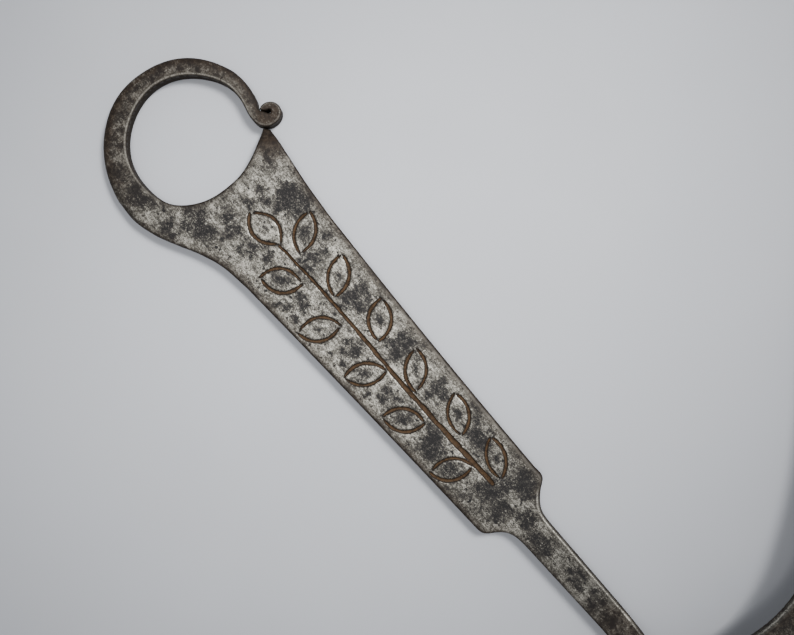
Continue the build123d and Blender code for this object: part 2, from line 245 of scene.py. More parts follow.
class Shell:
    """Collects grids of vertices with their attributes, then makes one closed mesh of them."""

    def __init__(self, names):
        self.names = names
        self.points, self.values, self.four, self.three = [], [], [], []
        self.total = 0

    def add(self, points, **values):
        """Adds an array of points of any shape and gives back its vertex numbers."""
        flat = points.reshape(-1, 3)
        rows = [np.broadcast_to(values.get(name, 0.0), points.shape[:-1]).reshape(-1)
                for name in self.names]
        self.points.append(flat)
        self.values.append(np.stack(rows, -1))
        ids = np.arange(self.total, self.total + len(flat)).reshape(points.shape[:-1])
        self.total += len(flat)
        return ids

    def grid(self, points, **values):
        """Adds a grid of points with its faces."""
        ids = self.add(points, **values)
        self.four.append(quads(ids))
        return ids

    def fan(self, ring, centre):
        """Closes a loop of vertices with triangles to one point."""
        self.three.append(np.stack([ring, np.roll(ring, -1), np.full(len(ring), centre)], -1))

    def cap(self, ids, body, **values):
        """Closes both ends of a skin that meets itself, each with a fan to its middle."""
        for end in (0, -1):
            centre = self.add(body[end].mean(axis=0)[None], **values)
            self.fan(ids[end][:-1], centre[0])

    def stitch(self, fine, coarse):
        """Joins a line of vertices to one with a quarter as many spans."""
        a, b, c, d, e = (fine[k:len(fine) - 4 + k:4] for k in range(5))
        low, high = coarse[:-1], coarse[1:]
        for face in ((low, a, b), (low, b, c), (low, c, high), (high, c, d), (high, d, e)):
            self.three.append(np.stack(face, -1))

    def build(self, name):
        """Makes the object: doubles merged, faces outward, smooth but for the sharp arrises."""
        points = np.concatenate(self.points) * MM
        values = np.concatenate(self.values)
        mesh = bpy.data.meshes.new(name)
        faces = [face for block in self.four for face in block.tolist()]
        faces += [face for block in self.three for face in block.tolist()]
        mesh.from_pydata(points.tolist(), [], faces)
        for column, label in enumerate(self.names):
            layer = mesh.attributes.new(label, "FLOAT", "POINT")
            layer.data.foreach_set("value", np.ascontiguousarray(values[:, column], dtype=np.float32))
        work = bmesh.new()
        work.from_mesh(mesh)
        bmesh.ops.remove_doubles(work, verts=work.verts, dist=2e-7)
        bmesh.ops.dissolve_degenerate(work, edges=work.edges, dist=1e-8)
        bmesh.ops.recalc_face_normals(work, faces=work.faces)
        work.to_mesh(mesh)
        work.free()
        mesh.shade_smooth()
        mesh.set_sharp_from_angle(angle=math.radians(48))
        item = bpy.data.objects.new(name, mesh)
        bpy.context.scene.collection.objects.link(item)
        return item


# ---------------------------------------------------------------- the handle's plan

def eye_edge(degrees):
    """The eye's radius by direction: round, with hand-forged dents, opening towards the horn."""
    radius = EYE_RADIUS + np.zeros_like(degrees, dtype=float)
    for place, depth, width in EYE_DENTS:
        gap = (degrees - place + 180.0) % 360.0 - 180.0
        radius = radius + depth * np.exp(-(gap / width) ** 2)
    return radius + 3.0 * (np.clip(degrees - 18.0, 0.0, 40.0) / 37.0) ** 2 * (degrees < 70.0)


def eye_bar_edge(sweep):
    """The eye bar's outer radius: a quick taper from its root, then even, then fine."""
    even = EYE_BAR_WIDTH + (EYE_BAR_ROOT - EYE_BAR_WIDTH) * np.exp(-sweep / 37.0)
    fine = np.clip((sweep - 165.0) / (EYE_SWEEP - 165.0), 0.0, 1.0)
    return EYE_RADIUS + even + 0.5 * smooth(5.0, 45.0, sweep) - 1.2 * fine + 0.12 * np.sin(sweep / 9.0)


def plate_half(x, side):
    """The plate's half width: flare or horn, then a straight taper a little waisted."""
    share = (x - FLARE_END) / (SHOULDER - FLARE_END)
    taper = PLATE_HALF_EYE + share * (PLATE_HALF_SHOULDER - PLATE_HALF_EYE)
    taper = taper - (PLATE_WAIST + 0.15 * side) * 4 * share * (1 - share)
    head = height_at(x, HORN_POINTS if side > 0 else FLARE_POINTS)
    return np.where(x < FLARE_END, head, taper)


def half_width(x, side):
    """Half width anywhere along the handle up to the crank."""
    x = np.asarray(x, float)
    start = float(plate_half(np.array([SHOULDER_START]), side)[0])
    shoulder = height_at(x, [(SHOULDER_START, start)] + SHOULDER_POINTS[side])
    join = SHOULDER_POINTS[side][-1]
    share = np.clip((x - join[0]) / (CRANK_START - join[0]), 0.0, 1.0)
    shank = join[1] + share * (SHANK_HALF_END - join[1])
    return np.where(x <= SHOULDER_START, plate_half(x, side), np.where(x < join[0], shoulder, shank))


def edge_distance(x, y):
    """How far in from the handle's outline a point lies: the gap across, by the outline's slope."""
    gaps = []
    for side in (1, -1):
        half = half_width(x, side)
        slope = (half_width(x + 0.05, side) - half_width(x - 0.05, side)) / 0.1
        gaps.append((half - side * y) / np.sqrt(1 + slope ** 2))
    near = np.minimum(*gaps)
    from_eye = np.hypot(x, y) - eye_edge(np.degrees(np.arctan2(y, x)))
    return np.minimum(near, np.where(x < 40.0, from_eye, near))


def leaf_place(x, y, cx, cy, direction):
    """How far points lie along a leaf and aside of it, from the leaf's middle."""
    angle = math.radians(direction)
    along = (x - cx) * math.cos(angle) + (y - cy) * math.sin(angle)
    return along, (y - cy) * math.cos(angle) - (x - cx) * math.sin(angle)


def vine_cut(x, y, sizes):
    """Depth of the chisel cuts: a rounded trough about each leaf's two arcs and the stem."""
    depth = np.zeros_like(x)
    half = LEAF_LENGTH / 2
    for number, (cx, cy, direction, bulge) in enumerate(LEAVES):
        lx, ly = leaf_place(x, y, cx, cy, direction)
        share = np.clip(np.abs(lx) / half, 0.0, 1.0)
        for flank in (1, -1):
            slip = 0.45 * math.sin(number * 2.3 + flank)
            turn = np.clip(np.abs(lx - slip) / half, 0.0, 1.0)
            arc = flank * (0.12 + (bulge - 0.8) * (1 - turn ** 2.1))
            slope = 2.1 * (bulge - 0.8) * share ** 1.1 / half
            away = np.abs(ly - arc) / np.sqrt(1 + slope ** 2)
            wander = 1.0 + 0.12 * math.sin(number * 1.7 + flank * 2.0)
            wander = wander + 0.1 * np.sin(lx * 1.3 + number * flank)
            taper = np.sqrt(np.clip(1 - turn ** 9, 0.0, 1.0)) * (1 - 0.18 * turn ** 3)
            width = sizes.groove_width / 2 * wander * taper
            trough = np.clip(1.0 - (away / np.maximum(width, 0.15)) ** 2, 0.0, 1.0)
            inside = np.clip(2.5 * width / sizes.groove_width, 0.0, 1.0) * (width > 0.0)
            depth = np.maximum(depth, sizes.groove_depth * trough ** 0.6 * inside)
    line = height_at(x, STEM)
    wide = 0.92 * height_at(x, STEM_HALF) * (1 + 0.14 * ripple(x, y * 0, 2.6, 9))
    away = np.abs(y - line - 0.12 * ripple(x, y * 0, 4.0, 4))
    ends = smooth(STEM[0][0] - 0.6, STEM[0][0] + 1.5, x) * (1 - smooth(STEM[-1][0] - 1.2, STEM[-1][0], x))
    trough = np.clip(1.0 - (away / np.maximum(wide, 0.1)) ** 2, 0.0, 1.0)
    return np.maximum(depth, sizes.groove_depth * 1.1 * trough ** 0.6 * ends)


def patch_shade(x, y):
    """How dark the iron is: soft spots at the patches and in the middle of each leaf."""
    light = 1 - 0.12 * smooth(95.0, 150.0, x) * (1 - smooth(155.0, 164.0, x))
    east = x + 1.1 * ripple(x, y, 3.2, 51) + 0.5 * ripple(x, y, 1.3, 52)
    north = y + 1.1 * ripple(x, y, 3.2, 53) + 0.5 * ripple(x, y, 1.3, 54)
    for cx, cy, size in DARK_PATCHES:
        reach = ((east - cx) ** 2 + (north - cy) ** 2) / size ** 2
        light = light * (1 - 0.9 * np.exp(-0.65 * reach ** 1.2))
    for (cx, cy, direction, _), size in zip(LEAVES, LEAF_SPOTS):
        along, aside = leaf_place(x, y, cx, cy, direction)
        reach = (along / 1.5) ** 2 + aside ** 2
        light = light * (1 - 0.8 * np.exp(-0.9 * reach / size ** 2))
    return 1 - light


def forged_relief(x, y, sizes):
    """Low hammer marks and shallow pitting, in millimetres, always at or below the flat."""
    wave = 0.5 * ripple(x, y, 9.0, 1) + 0.3 * ripple(x, y, 3.6, 2)
    pits = smooth(0.25, 0.8, ripple(x, y, 1.5, 3) + 0.5 * ripple(x, y, 0.8, 5))
    dark = patch_shade(x, y)
    return -sizes.relief * (0.6 + 0.6 * wave + 0.5 * pits * (0.4 + dark))


def blade_plane_height(x, y):
    """Height of the blade's underside over a point in plan."""
    return PLANE_POINT[2] + SLOPE_X * (x - PLANE_POINT[0]) + SLOPE_Y * (y - PLANE_POINT[1])


def crank_height(x, y, start, end):
    """A cubic rise from the flat shank to the blade's plane, level at first."""
    share = np.clip((x - CRANK_START) / (CRANK_END - CRANK_START), 0.0, 1.0)
    run = (CRANK_END - CRANK_START) * SLOPE_X
    rise = start + (end - start) * (3 * share ** 2 - 2 * share ** 3) + run * (share ** 3 - share ** 2)
    return rise + SLOPE_Y * y * share


def rivet_places():
    """Plan points of the rivets, a pitch apart along the root of the blade."""
    step = math.degrees(RIVET_PITCH / (THROAT_RADIUS + ROOT_WIDTH / 2))
    number = np.arange(3)
    radius = THROAT_RADIUS + ROOT_WIDTH * (0.43 + 0.06 * number)
    return polar(radius, FIRST_RIVET + step * number, THROAT_CENTRE)


def handle_columns():
    """The head's lines: from the horn's tip round the plate and the eye's bar to the roll."""
    above, below = (half_width(np.array([HEAD_END]), side) for side in (1, -1))
    across = spread(above + below, ACROSS_PLATE)[0]
    seam = np.stack([np.full(ACROSS_PLATE, HEAD_END), above - across], -1)
    horn_x = np.linspace(HORN_OUTER[0], HEAD_END, 25)[:-1]
    horn = np.stack([horn_x, half_width(horn_x, 1)], -1)
    flare_x = np.linspace(HEAD_END, 0.0, 49)[1:]
    flare = np.stack([flare_x, -half_width(flare_x, -1)], -1)
    outer = np.concatenate([horn, seam, flare])
    turn = np.degrees(np.arctan2(outer[:, 1], outer[:, 0]))
    inner_turn = turn + 1.6 * smooth(44.0, 54.0, turn)
    inner = polar(eye_edge(inner_turn), inner_turn)
    sweep = np.linspace(0.0, EYE_SWEEP, 129)[1:]
    outer_bar = polar(eye_bar_edge(sweep), -90.0 - sweep)
    inner_bar = polar(eye_edge(-90.0 - sweep), -90.0 - sweep)
    roll_outside = curve_through(np.concatenate([inner_bar[-1:], ROLL_OUTSIDE]), 65)[1:]
    roll_inside = curve_through(np.concatenate([outer_bar[-1:], ROLL_INSIDE]), 65)[1:]
    inner = np.concatenate([inner, inner_bar, roll_outside])
    outer = np.concatenate([outer, outer_bar, roll_inside])
    return inner, outer, len(horn), len(seam), len(flare)


def head_surface(sizes):
    """The head: straight lines from the eye's edge to the outline, crowned by the distance in."""
    inner, outer, horn, seam, flare = handle_columns()
    width = np.hypot(*(outer - inner).T)
    reach = spread(width, ACROSS_HEAD)
    plan = inner[:, None] + (outer - inner)[:, None] * (reach / width[:, None])[..., None]
    x, y = plan[..., 0], plan[..., 1]
    plate_part = horn + seam + flare
    column = np.arange(len(inner))[:, None]
    bar = smooth(plate_part - 40, plate_part + 30, column)
    plate_outer = np.maximum(np.minimum(half_width(x, 1) - y, half_width(x, -1) + y), 0)
    out_inset = np.where(column < plate_part, plate_outer * 0.93, width[:, None] - reach)
    end_gap = np.hypot(*(0.5 * (inner + outer) - 0.5 * (inner[-1] + outer[-1])).T)
    end_gap = np.where(np.arange(len(inner)) > len(inner) - 16, end_gap, 9.0)[:, None]
    horn_line = np.array(HORN_OUTER) - np.array(HORN_INNER)
    horn_normal = np.array([horn_line[1], -horn_line[0]]) / np.hypot(*horn_line)
    horn_gap = (x - HORN_INNER[0]) * horn_normal[0] + (y - HORN_INNER[1]) * horn_normal[1]
    horn_gap = np.where(column < horn + 20, np.maximum(horn_gap, 0.0), 99.0)
    outer_round = sizes.arris * (1 - bar) + sizes.bar_shoulder * bar
    rolled = smooth(len(inner) - 70, len(inner) - 50, column)
    outer_round = outer_round * (1 - rolled) + 0.7 * rolled
    inner_round = sizes.arris * 0.8 * (1 - bar) + 0.45 * bar
    outer_drop = rounding(out_inset, outer_round) * (1 - 0.45 * bar * (1 - rolled))
    drop = np.maximum(outer_drop, rounding(reach, inner_round))
    drop = np.maximum(drop, rounding(np.minimum(end_gap, horn_gap), 0.6))
    drop = drop + 1.7 * (1 - smooth(0.0, 5.0, horn_gap)) * (column < horn + 20)
    tilt = bar * (1 - rolled) * 0.35 * np.clip(reach / width[:, None] - 0.3, 0, 1)
    cut = vine_cut(x, y, sizes)
    z = sizes.thickness - drop - tilt - cut + forged_relief(x, y, sizes)
    # Painted highlight on worn metal: a thin light line along the eye bar's inner arris
    bright = 0.7 * bar * (1 - 0.5 * rolled) * np.exp(-((reach - 0.55) / 0.2) ** 2)
    rim = np.exp(-np.minimum(out_inset, reach) / 0.85)
    soot = np.maximum(bar * (0.64 + 0.34 * smooth(0.4, 0.8, reach / width[:, None])), 0.98 * rolled)
    soot = np.maximum(soot, 0.8 * np.exp(-np.minimum(out_inset, reach) / 1.2))
    soot = np.maximum(soot, (1 - smooth(3.0, 15.0, horn_gap)) * (column < horn + 60))
    values = {"cut": cut / sizes.groove_depth, "rim": rim, "soot": soot,
              "patch": patch_shade(x, y) * (1 - 0.6 * rolled), "bright": bright}
    return np.stack([x, y, z], -1), values, (horn, seam)


def shank_surface(sizes):
    """Plate, shank, crank and palm: lines across a path, as far apart as the outline is wide."""
    x = np.concatenate([np.linspace(HEAD_END, SHOULDER_START + 1, 341),
                        np.linspace(SHOULDER_START + 1, SHANK_START, 49)[1:],
                        np.linspace(SHANK_START, CRANK_START, 53)[1:]])
    straight = np.stack([x, np.zeros_like(x)], -1)
    rivets = rivet_places()
    tongue_end = rivets[2] + PALM_END * (rivets[2] - rivets[1]) / np.hypot(*(rivets[2] - rivets[1]))
    bend = [(CRANK_START, 0.0), (CRANK_START + 7, -0.3), (CRANK_END - 1, -1.0),
            (rivets[0][0] - 1, rivets[0][1] + 1.0),
            tuple(rivets[1]), tuple(rivets[2]), tuple(tongue_end)]
    fine = curve_through(bend, 600)
    length = np.concatenate([[0.0], np.cumsum(np.hypot(*np.diff(fine, axis=0).T))])
    rounded_end = 1 - 0.1 * (1 - np.sin(np.linspace(0, 1.45, 17)[1:]))
    share = np.concatenate([np.linspace(0, 0.9, 45)[1:], rounded_end])
    place = share * length[-1]
    centre = np.stack([np.interp(place, length, fine[:, k]) for k in range(2)], -1)
    stations = [0, 14.0, 24.0, 33.0, length[-1] - PALM_END, length[-1]]
    half = np.interp(place, stations, [SHANK_HALF_END, SHANK_HALF_END, 7.5, 7.3, 6.5, 6.5])
    left = np.clip((length[-1] - place) / PALM_END, 0.0, 1.0)
    half = np.maximum(half * np.sqrt(1 - (1 - left) ** 2), 0.5)
    path = np.concatenate([straight, centre])
    along = np.gradient(path, axis=0)
    along[:len(x) - 1] = (1.0, 0.0)
    along /= np.hypot(*along.T)[:, None]
    normal = np.stack([-along[:, 1], along[:, 0]], -1)
    positive = np.concatenate([half_width(x, 1), half])
    negative = np.concatenate([half_width(x, -1), half])
    reach = spread(positive + negative, ACROSS_PLATE)
    offset = positive[:, None] - reach
    plan = path[:, None] + normal[:, None] * offset[..., None]
    px, py = plan[..., 0], plan[..., 1]
    row = np.arange(len(path))[:, None]
    on_palm = row >= len(x)
    inset = np.minimum(reach, (positive + negative)[:, None] - reach)
    inset = np.where(on_palm, inset, edge_distance(px, py))
    beyond = smooth(SHOULDER + 0.5, SHOULDER + 4, px)
    arris = sizes.arris * (1 - 0.35 * beyond)
    faceted = beyond * (py > 0) * (1 - smooth(CRANK_START - 6, CRANK_START + 8, px))
    facet = faceted * np.clip(0.8 - inset, 0.0, None)
    drop = np.maximum(rounding(inset, arris), facet)
    cut = np.where(on_palm, 0.0, vine_cut(px, py, sizes))
    top = crank_height(px, py, sizes.thickness, blade_plane_height(CRANK_END, 0.0))
    bottom = crank_height(px, py, 0.0, blade_plane_height(CRANK_END, 0.0) - sizes.palm * UPRIGHT)
    bent = smooth(CRANK_END - 1.0, CRANK_END, px) > 0.5
    top = np.where(bent, blade_plane_height(px, py) - 0.02, top)
    bottom = np.where(bent, blade_plane_height(px, py) - sizes.palm * UPRIGHT, bottom)
    under_blade = smooth(CRANK_END - 8.0, CRANK_END, px)
    relief = forged_relief(px, py, sizes) * (1 - 0.9 * under_blade)
    z = top - drop - cut + relief
    rim = np.exp(-inset / 0.95)
    # Painted highlight along the shank's +Y arris, the side that faces the main light, and a faint painted
    # highlight line just inside the plate's +Y edge
    lit_side = 1.6 * beyond * (py > 0) * (1 - smooth(CRANK_START, CRANK_END, px))
    lit_edge_highlight = lit_side * np.exp(-((inset - 0.95) / 0.25) ** 2)
    plate_edge_highlight = (1 - beyond) * 0.25 * np.exp(-((reach - 1.1) / 0.3) ** 2) * smooth(60, 110, px)
    soot = 0.75 * smooth(CRANK_START - 16, CRANK_START + 3, px)
    soot = np.maximum(soot, np.exp(-inset / 1.1) * (1 - 0.4 * beyond)
                      + 0.2 * np.exp(-(inset / 3.0) ** 2) * (1 - beyond))
    values = {"cut": cut / sizes.groove_depth, "rim": rim, "patch": patch_shade(px, py),
              "bright": lit_edge_highlight + plate_edge_highlight, "soot": soot}
    return np.stack([px, py, z], -1), bottom, values


def wall(shell, top, low, coarse, values):
    """A side wall: four rows from the top's arris down, the last stitched to the underside."""
    shares = np.array([0.0, 0.35, 0.7, 1.0])[:, None, None]
    foot = low + np.array([0.0, 0.0, 0.55])
    rows = top[None] * (1 - shares) + foot[None] * shares
    rows[1:-1, :, 2] += 0.05 * ripple(rows[1:-1, :, 0] * 2, rows[1:-1, :, 1] * 2, 3.0, 8)
    spread_values = {name: value[None] for name, value in values.items()}
    ids = shell.grid(rows, **spread_values)
    shell.stitch(ids[-1], coarse)


def tuck(plan, lines):
    """Moves outer lines of an underside grid in a little, for the lower arris."""
    result = plan.copy()
    for line, beside in lines:
        step = plan[beside] - plan[line]
        far = np.maximum(np.hypot(step[:, 0], step[:, 1]), 1e-6)[:, None]
        result[line] += LOWER_ARRIS * step / far
    return result


def forge_handle(sizes):
    """The handle as one closed skin: top grids, walls, and an underside a quarter as dense."""
    shell = Shell(["cut", "rim", "soot", "patch", "bright", "wall"])
    head, head_values, (horn, seam) = head_surface(sizes)
    shank, shank_low, shank_values = shank_surface(sizes)
    head[horn:horn + seam, -1] = shank[0]
    for name in head_values:
        head_values[name] = np.broadcast_to(head_values[name], head.shape[:2]).copy()
        if name in shank_values:
            head_values[name][horn:horn + seam, -1] = shank_values[name][0]
    shell.grid(head, **head_values)
    shell.grid(shank, **shank_values)

    shank_under = np.concatenate([shank[::COARSE, ::COARSE, :2], shank_low[::COARSE, ::COARSE, None]], -1)
    shank_tucked = tuck(shank_under, SIDES + ENDS[1:])
    head_under = head[::COARSE, ::COARSE] * np.array([1.0, 1.0, 0.0])
    head_tucked = tuck(head_under, SIDES + ENDS)
    first, last = horn // COARSE, (horn + seam - 1) // COARSE
    head_tucked[first:last + 1, -1] = shank_tucked[0]
    # Painted shade on the underside, through the wall layer, with a little brown skin
    under = {"wall": 0.6, "soot": 0.3}
    head_ids = shell.grid(head_tucked, **under)
    shank_ids = shell.grid(shank_tucked, **under)

    def side(points, low, coarse):
        """One side wall, dark all over with painted shade."""
        values = {"wall": np.ones(len(points)), "rim": np.full(len(points), 0.5),
                  "soot": np.full(len(points), 0.45)}
        base = np.concatenate([points[:, :2], low[:, None]], -1)
        wall(shell, points, base, coarse, values)

    zero = np.zeros(len(head))
    side(head[:, 0], zero, head_ids[:, 0])
    side(head[-1], np.zeros(ACROSS_HEAD), head_ids[-1])
    side(head[0], np.zeros(ACROSS_HEAD), head_ids[0])
    side(head[:horn + 1, -1], np.zeros(horn + 1), head_ids[:first + 1, -1])
    flare = head[horn + seam - 1:, -1]
    side(flare, np.zeros(len(flare)), head_ids[last:, -1])
    side(shank[:, 0], shank_low[:, 0], shank_ids[:, 0])
    side(shank[:, -1], shank_low[:, -1], shank_ids[:, -1])
    side(shank[-1], shank_low[-1], shank_ids[-1])
    return shell.build("forged_handle")


# ---------------------------------------------------------------- the blade and its rivets

def on_plane(x, y, lift):
    """Points over a plan, on the blade's plane and lifted square to it."""
    scale = 1.0 / math.sqrt(1 + SLOPE_X ** 2 + SLOPE_Y ** 2)
    normal = np.array([-SLOPE_X, -SLOPE_Y, 1.0]) * scale
    base = np.stack([x, y, blade_plane_height(x, y)], -1)
    return base + np.asarray(lift)[..., None] * normal


def blade_neck_and_tip():
    """The end of the blade's back curve and its tip, in plan."""
    neck = polar(BACK_RADIUS, NECK, BACK_CENTRE)
    tip = np.array([neck[0] - (BLADE_REACH - neck[1]) * 1.25, BLADE_REACH])
    return neck, tip


def cutting_edge(station):
    """The inner edge by station: the throat's arc, the back arc, then a nearly straight run."""
    neck, tip = blade_neck_and_tip()
    throat = polar(THROAT_RADIUS, station, THROAT_CENTRE)
    back = polar(BACK_RADIUS, station, BACK_CENTRE)
    share = np.clip((station - NECK) / (TIP_STATION - NECK), 0.0, 1.0)[:, None]
    bulge = 4 * share * (1 - share) * np.array([0.9, 1.1])
    run = neck * (1 - share) + tip * share + bulge
    pick = station[:, None]
    return np.where(pick <= THROAT_END, throat, np.where(pick <= NECK, back, run))


def spine_edge(station):
    """The outer edge by station, a smooth curve through the widths wanted at eight stations."""
    neck, tip = blade_neck_and_tip()
    knots = [ROOT_STATION, -24.0, 0.0, 26.0, 42.0, NECK, 63.0, TIP_STATION]
    points = [polar(THROAT_RADIUS + ROOT_WIDTH, ROOT_STATION, THROAT_CENTRE),
              polar(THROAT_RADIUS + BLADE_WIDTH * 0.85, -24.0, THROAT_CENTRE),
              polar(THROAT_RADIUS + BLADE_WIDTH, 0.0, THROAT_CENTRE),
              polar(THROAT_RADIUS + BLADE_WIDTH * 0.97, 26.0, THROAT_CENTRE),
              polar(BACK_RADIUS + BLADE_WIDTH * 0.82, 42.0, BACK_CENTRE),
              polar(BACK_RADIUS + BLADE_WIDTH * 0.60, NECK, BACK_CENTRE),
              (neck + tip) / 2 + np.array([0.20, 0.28]) * BLADE_WIDTH,
              tip + np.array([0.6, 1.6])]
    share = np.interp(station, knots, np.linspace(0.0, 1.0, len(knots)))
    return curve_through(points, share)


def forge_blade(sizes):
    """The blade: one closed section, bevelled at the edge, carried along the crescent."""
    shell = Shell(["rim", "soot", "patch", "bright", "wall"])
    station = np.concatenate([np.linspace(ROOT_STATION, THROAT_END, 121),
                              np.linspace(THROAT_END, NECK, 81)[1:],
                              np.linspace(NECK, TIP_STATION, 61)[1:]])
    inner, outer = cutting_edge(station), spine_edge(station)
    level = np.zeros_like(station)
    nick = 0.10 * ripple(station * 3.1, level, 1.0, 21) + 0.08 * ripple(station * 9.0, level, 1.0, 22)
    across = outer - inner
    width = np.hypot(*across.T)
    across /= width[:, None]
    inner = inner + across * (0.08 + np.abs(nick))[:, None]
    outer = outer - across * (0.25 + 0.25 * ripple(station * 1.1, level, 1.0, 23))[:, None]
    width = np.hypot(*(outer - inner).T)
    bevel, thick, land = sizes.bevel, sizes.thickness, sizes.land
    near = np.array([0.0, 0.0, 0.0, 0.1, 0.45, 0.8, 0.92, 1.0]) * bevel
    slope = land + (thick - land) * np.array([0.45, 0.8, 0.93, 1.0])
    near_lift = np.concatenate([[0.15, 0.5, 0.92, 1.0], slope])
    middle = np.linspace(0.0, 1.0, 34)[1:-1]
    far = np.array([1.2, 0.6, 0.15, 0.0, 0.0, 0.15, 0.6])
    far_lift = np.array([1.0, 0.96, 0.82, 0.62, 0.30, 0.08, 0.0]) * thick
    back = np.linspace(1.0, 0.0, 14)[1:-1]
    squeeze = np.minimum(1.0, width / 9.0)[:, None]
    near_reach = near[None] * squeeze
    far_reach = width[:, None] - far[None] * squeeze
    start, end = near_reach[:, -1:], far_reach[:, :1]
    top_reach = start + middle[None] * (end - start)
    back_reach = 0.3 * squeeze + back[None] * (far_reach[:, -1:] - 0.3 * squeeze)
    reach = np.concatenate([near_reach, top_reach, far_reach, back_reach, 0.25 * squeeze], axis=1)
    lift = np.concatenate([near_lift, np.full(len(middle), thick), far_lift, np.zeros(len(back)), [0.0]])
    lift = lift[None] * (0.72 + 0.28 * np.minimum(1.0, width / 12.0))[:, None]
    plan = inner[:, None] + across[:, None] * reach[..., None]
    x, y = plan[..., 0], plan[..., 1]
    is_top = np.zeros(lift.shape[1])
    is_top[len(near):len(near) + len(middle) + 2] = 1.0
    is_back = np.zeros(lift.shape[1])
    is_back[-len(back) - 1:-1] = 1.0
    wave = 0.6 * ripple(x, y, 7.0, 31) + 0.4 * ripple(x, y, 2.6, 32) + 0.25 * ripple(x, y, 1.2, 33)
    root = smooth(-14.0, -6.0, station)[:, None]
    lift = lift - sizes.relief * (0.6 + 0.6 * wave) * is_top * (0.35 + 0.65 * root)
    lift = lift + sizes.relief * (0.5 + 0.5 * wave) * is_back * root
    body = on_plane(x, y, lift)
    body[..., 2] = np.maximum(body[..., 2], 0.05)
    on_bevel = np.zeros(lift.shape[1])
    on_bevel[3:len(near)] = 1.0
    rim = np.exp(-np.minimum(reach, width[:, None] - reach) / 1.2)
    # Painted highlight: a thin light line along the bevel of the cutting edge, on ground metal
    bright = 1.5 * np.exp(-((reach - bevel * 0.8) / 0.17) ** 2) * (is_top + on_bevel)
    # Painted shade on the side wall of the cutting edge
    walls = np.zeros(lift.shape[1])
    walls[:3] = 1.0
    soot = (0.35 + 0.5 * np.exp(-np.clip(reach - bevel, 0, None) / 4.0)) * is_top
    ids = shell.grid(closed(body), rim=closed(rim), soot=closed(soot), bright=closed(bright),
                     wall=closed(walls[None]))
    # The blade's end caps take the painted edge line and the painted wall shade
    shell.cap(ids, body, rim=1.0, wall=1.0)
    return shell.build("forged_blade")


def peen_rivet(sizes, place, number, thickness, palm):
    """A rivet: a closed profile turned about its axis, its heads dented by the hammer."""
    shell = Shell(["rim", "soot", "patch", "bright", "wall"])
    turn = np.linspace(0.0, 2 * np.pi, 65)[:-1]
    rise = np.linspace(0.02, 0.5 * np.pi, 15)
    head, low = sizes.head_radius, sizes.head_radius * 0.9
    radii = np.concatenate([low * np.sin(rise), [sizes.radius, sizes.radius], head * np.sin(rise)[::-1]])
    lifts = np.concatenate([-palm - sizes.head_height * 0.65 * np.cos(rise), [-palm, thickness],
                            thickness + sizes.head_height * np.cos(rise)[::-1]])
    grid_r, grid_t = radii[:, None], turn[None]
    u, v = grid_r * np.cos(grid_t), grid_r * np.sin(grid_t)
    dent = ripple(u + number * 11.0, v, 2.1, 41) * 0.16 + ripple(u, v + number * 7.0, 1.0, 42) * 0.06
    top = np.arange(len(radii)) > len(rise) + 1
    low_side = np.arange(len(radii)) < len(rise)
    away = 1.0 + 0.035 * ripple(np.cos(grid_t) * 3 + number, np.sin(grid_t) * 3, 1.0, 43)
    inner = smooth(0.0, 0.35, 1 - grid_r / head)
    lift = lifts[:, None] - np.abs(dent) * inner * (top[:, None] * 1.0 - low_side[:, None])
    x = place[0] + u * away
    y = place[1] + v * away
    body = on_plane(x, y, lift)
    # Worn tops of the rivet heads, carried in the highlight layer: wear with a painted highlight
    worn = np.exp(-((grid_r / head - 0.25) / 0.4) ** 2) * top[:, None] * np.ones_like(u)
    rim = smooth(0.7, 1.0, grid_r / head) * np.ones_like(u)
    ids = shell.grid(closed(body), rim=closed(rim), bright=0.5 * closed(worn))
    shell.cap(ids, body)
    return shell.build(f"peened_rivet_{number}")


# ---------------------------------------------------------------- materials

